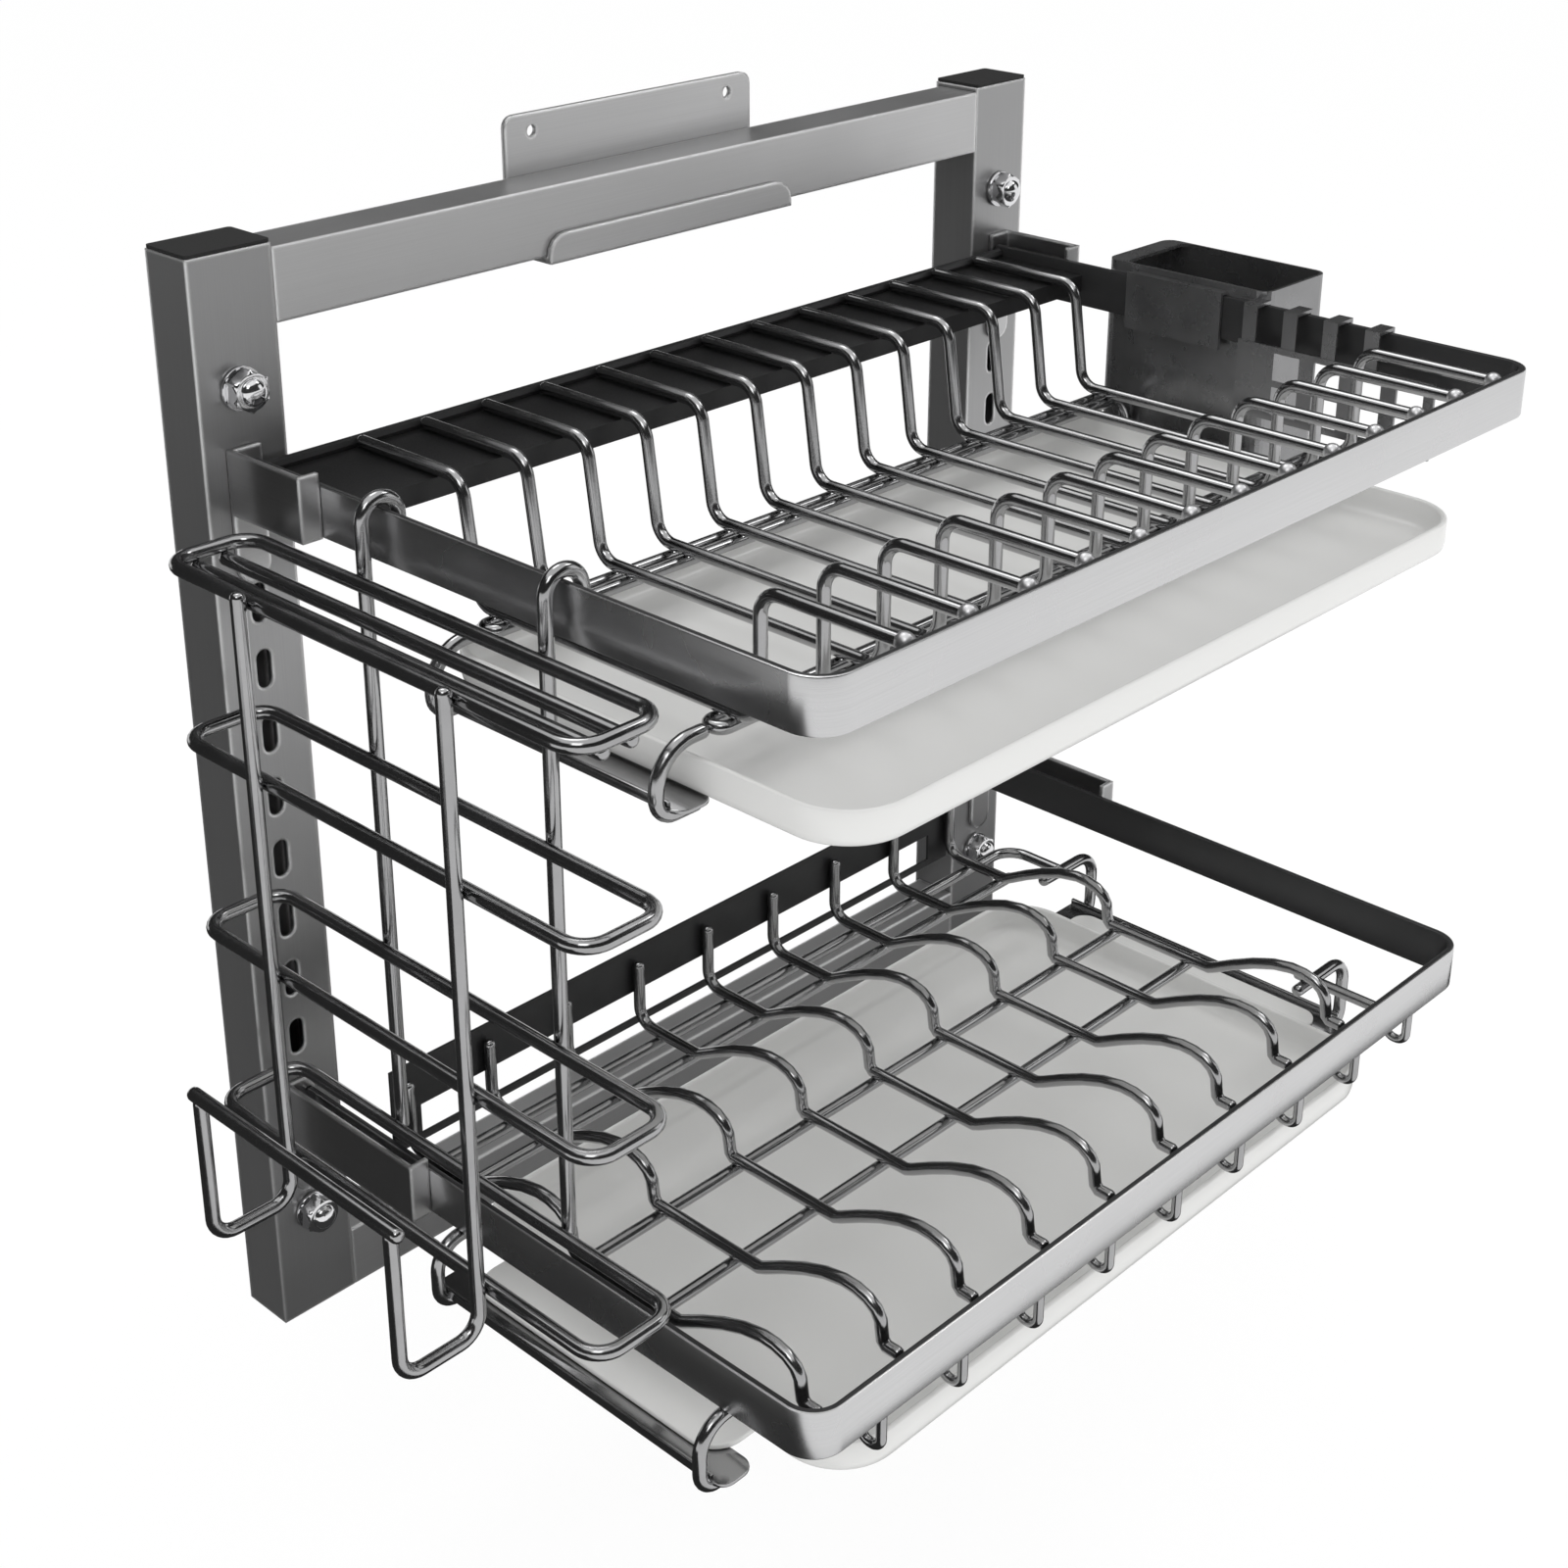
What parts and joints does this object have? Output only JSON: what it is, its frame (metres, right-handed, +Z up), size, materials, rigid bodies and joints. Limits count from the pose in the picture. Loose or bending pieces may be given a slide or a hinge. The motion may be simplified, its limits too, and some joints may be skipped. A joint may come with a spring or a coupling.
{
  "type": "over-sink dish rack",
  "caption": "Wall-hung two-tier dish rack for over a sink, with plate dividers above, wave wires for cups below, drip trays, a side rack for boards and a utensil box.",
  "frame": {"origin": "centre of the wall plate's back face, on the wall", "axes": "+X to the right along the wall, +Y into the wall, +Z up"},
  "size_m": [0.573, 0.311, 0.4811],
  "materials": {
    "grey_coated_steel": "satin",
    "polished_steel": "bright",
    "dark_steel": "satin",
    "bright_wire": "polished",
    "zinc": "zinc plated",
    "black_plastic": "fine grain",
    "white_plastic": "smooth"
  },
  "bodies": {
    "frame": {"left_post": "grey_coated_steel", "right_post": "grey_coated_steel", "left_post_cap": "black_plastic", "right_post_cap": "black_plastic", "upper_crossbar": "grey_coated_steel", "lower_crossbar": "grey_coated_steel", "wall_plate": "grey_coated_steel", "anchor_bolt_lower_left": "zinc", "anchor_bolt_lower_right": "zinc", "anchor_bolt_upper_left": "zinc", "anchor_bolt_upper_right": "zinc"},
    "upper_tray": {"upper_rim": "polished_steel", "upper_rear_plate": "dark_steel", "plate_divider_01": "bright_wire", "plate_divider_02": "bright_wire", "plate_divider_03": "bright_wire", "plate_divider_04": "bright_wire", "plate_divider_05": "bright_wire", "plate_divider_06": "bright_wire", "plate_divider_07": "bright_wire", "plate_divider_08": "bright_wire", "plate_divider_09": "bright_wire", "plate_divider_10": "bright_wire", "plate_divider_11": "bright_wire", "plate_divider_12": "bright_wire", "plate_divider_13": "bright_wire", "floor_pair_rear": "bright_wire", "floor_pair_middle": "bright_wire", "upper_left_bracket": "dark_steel", "upper_right_bracket": "dark_steel", "upper_left_runner": "bright_wire", "upper_right_runner": "bright_wire"},
    "upper_drip_tray": {"upper_drip_tray": "white_plastic"},
    "lower_tray": {"lower_rim": "polished_steel", "lower_rear_sheet": "dark_steel", "wave_wire_1": "bright_wire", "wave_wire_2": "bright_wire", "wave_wire_3": "bright_wire", "wave_wire_4": "bright_wire", "wave_wire_5": "bright_wire", "wave_wire_6": "bright_wire", "wave_wire_7": "bright_wire", "wave_wire_8": "bright_wire", "wave_wire_9": "bright_wire", "lower_floor_grid": "bright_wire", "lower_left_bracket": "dark_steel", "lower_right_bracket": "dark_steel", "lower_left_runner": "bright_wire", "lower_right_runner": "bright_wire"},
    "lower_drip_tray": {"lower_drip_tray": "white_plastic"},
    "board_rack": {"board_loop_1": "polished_steel", "board_loop_2": "polished_steel", "board_loop_3": "polished_steel", "board_loop_4": "polished_steel", "board_hanger_rear": "polished_steel", "board_hanger_front": "polished_steel", "board_cradle": "polished_steel"},
    "utensil_box": {"utensil_box": "black_plastic"},
    "side_screen": {"side_screen": "black_plastic"}
  },
  "joints": [
    {"name": "upper_tray_lift", "type": "slide", "parent": "frame", "child": "upper_tray", "axis": [0, 0, 1], "range_m": [0, 0.006]},
    {"name": "lower_tray_lift", "type": "slide", "parent": "frame", "child": "lower_tray", "axis": [0, 0, 1], "range_m": [0, 0.006]},
    {"name": "upper_drip_slide", "type": "slide", "parent": "upper_tray", "child": "upper_drip_tray", "axis": [0, -1, 0], "range_m": [0, 0.2]},
    {"name": "lower_drip_slide", "type": "slide", "parent": "lower_tray", "child": "lower_drip_tray", "axis": [0, -1, 0], "range_m": [0, 0.2]},
    {"name": "board_rack_lift", "type": "slide", "parent": "upper_tray", "child": "board_rack", "axis": [0, 0, 1], "range_m": [0, 0.03]},
    {"name": "utensil_box_lift", "type": "slide", "parent": "upper_tray", "child": "utensil_box", "axis": [0, 0, 1], "range_m": [0, 0.03]},
    {"name": "side_screen_lift", "type": "slide", "parent": "upper_tray", "child": "side_screen", "axis": [0, 0, 1], "range_m": [0, 0.03]}
  ]
}
